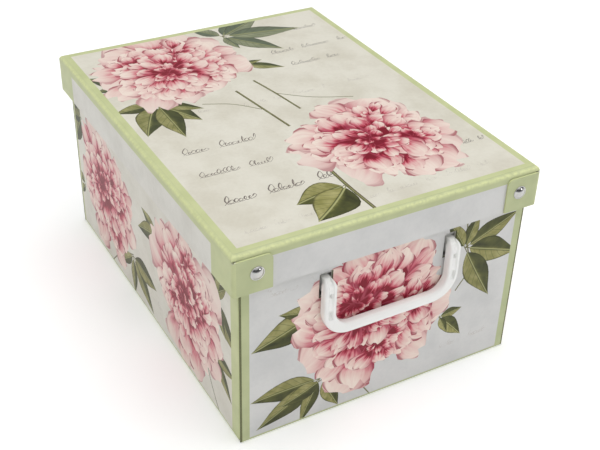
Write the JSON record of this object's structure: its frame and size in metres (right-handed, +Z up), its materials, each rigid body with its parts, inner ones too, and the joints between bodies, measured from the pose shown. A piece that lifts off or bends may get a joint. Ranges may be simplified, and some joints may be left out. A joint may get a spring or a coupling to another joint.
{
  "type": "lidded storage box",
  "caption": "Rectangular board storage box with a deep-rimmed lift-off lid, press-studded corner tabs and swinging moulded bail handles on its ends.",
  "frame": {"origin": "centre of the box's underside, on the surface it stands on", "axes": "+Z up, Y along the long side with the front handle at -Y, X across the ends"},
  "size_m": [0.28, 0.3868, 0.189],
  "materials": {
    "printed_board": "laminated print, satin",
    "green_board": "laminated print, satin",
    "plain_board": "plain lining paper, matt",
    "steel": "nickel plated, worn bright",
    "white_plastic": "glossy moulded"
  },
  "bodies": {
    "box_body": {"floor_panel": "plain_board", "floor_insert": "plain_board", "wall_left": "printed_board", "wall_right": "printed_board", "end_wall_front": "printed_board", "end_wall_rear": "printed_board", "handle_backing_front": "plain_board", "handle_backing_rear": "plain_board", "corner_flap_front_left": "plain_board", "corner_flap_front_right": "plain_board", "corner_flap_rear_left": "plain_board", "corner_flap_rear_right": "plain_board", "body_snap_cap_front_left": "steel", "body_snap_socket_front_left": "steel", "body_snap_stud_front_left": "steel", "body_snap_post_front_left": "steel", "body_snap_cap_front_right": "steel", "body_snap_socket_front_right": "steel", "body_snap_stud_front_right": "steel", "body_snap_post_front_right": "steel", "body_snap_cap_rear_left": "steel", "body_snap_socket_rear_left": "steel", "body_snap_stud_rear_left": "steel", "body_snap_post_rear_left": "steel", "body_snap_cap_rear_right": "steel", "body_snap_socket_rear_right": "steel", "body_snap_stud_rear_right": "steel", "body_snap_post_rear_right": "steel"},
    "lid": {"lid_top": "printed_board", "lid_rim_left": "printed_board", "lid_rim_right": "printed_board", "lid_rim_front": "printed_board", "lid_rim_rear": "printed_board", "lid_snap_stud_front_left": "steel", "lid_snap_post_front_left": "steel", "lid_snap_stud_front_right": "steel", "lid_snap_post_front_right": "steel", "lid_snap_stud_rear_left": "steel", "lid_snap_post_rear_left": "steel", "lid_snap_stud_rear_right": "steel", "lid_snap_post_rear_right": "steel"},
    "tab_front_left": {"lid_tab_front_left": "green_board", "lid_snap_cap_front_left": "steel", "lid_snap_socket_front_left": "steel"},
    "tab_front_right": {"lid_tab_front_right": "green_board", "lid_snap_cap_front_right": "steel", "lid_snap_socket_front_right": "steel"},
    "tab_rear_left": {"lid_tab_rear_left": "green_board", "lid_snap_cap_rear_left": "steel", "lid_snap_socket_rear_left": "steel"},
    "tab_rear_right": {"lid_tab_rear_right": "green_board", "lid_snap_cap_rear_right": "steel", "lid_snap_socket_rear_right": "steel"},
    "bail_front": {"handle_front": "white_plastic"},
    "bail_rear": {"handle_rear": "white_plastic"}
  },
  "joints": [
    {"name": "lid_lift", "type": "slide", "parent": "box_body", "child": "lid", "axis": [0, 0, 1], "range_m": [0, 0.2]},
    {"name": "front_handle_swing", "type": "hinge", "parent": "box_body", "child": "bail_front", "pos_m": [0, -0.18235, 0.1357], "axis": [-1, 0, 0], "range_deg": [0, 100]},
    {"name": "rear_handle_swing", "type": "hinge", "parent": "box_body", "child": "bail_rear", "pos_m": [0, 0.18235, 0.1357], "axis": [1, 0, 0], "range_deg": [0, 100]},
    {"name": "front_left_tab_open", "type": "hinge", "parent": "lid", "child": "tab_front_left", "pos_m": [-0.137, -0.189, 0.169], "axis": [0, 0, -1], "range_deg": [0, 90]},
    {"name": "front_right_tab_open", "type": "hinge", "parent": "lid", "child": "tab_front_right", "pos_m": [0.137, -0.189, 0.169], "axis": [0, 0, 1], "range_deg": [0, 90]},
    {"name": "rear_left_tab_open", "type": "hinge", "parent": "lid", "child": "tab_rear_left", "pos_m": [-0.137, 0.189, 0.169], "axis": [0, 0, 1], "range_deg": [0, 90]},
    {"name": "rear_right_tab_open", "type": "hinge", "parent": "lid", "child": "tab_rear_right", "pos_m": [0.137, 0.189, 0.169], "axis": [0, 0, -1], "range_deg": [0, 90]}
  ]
}
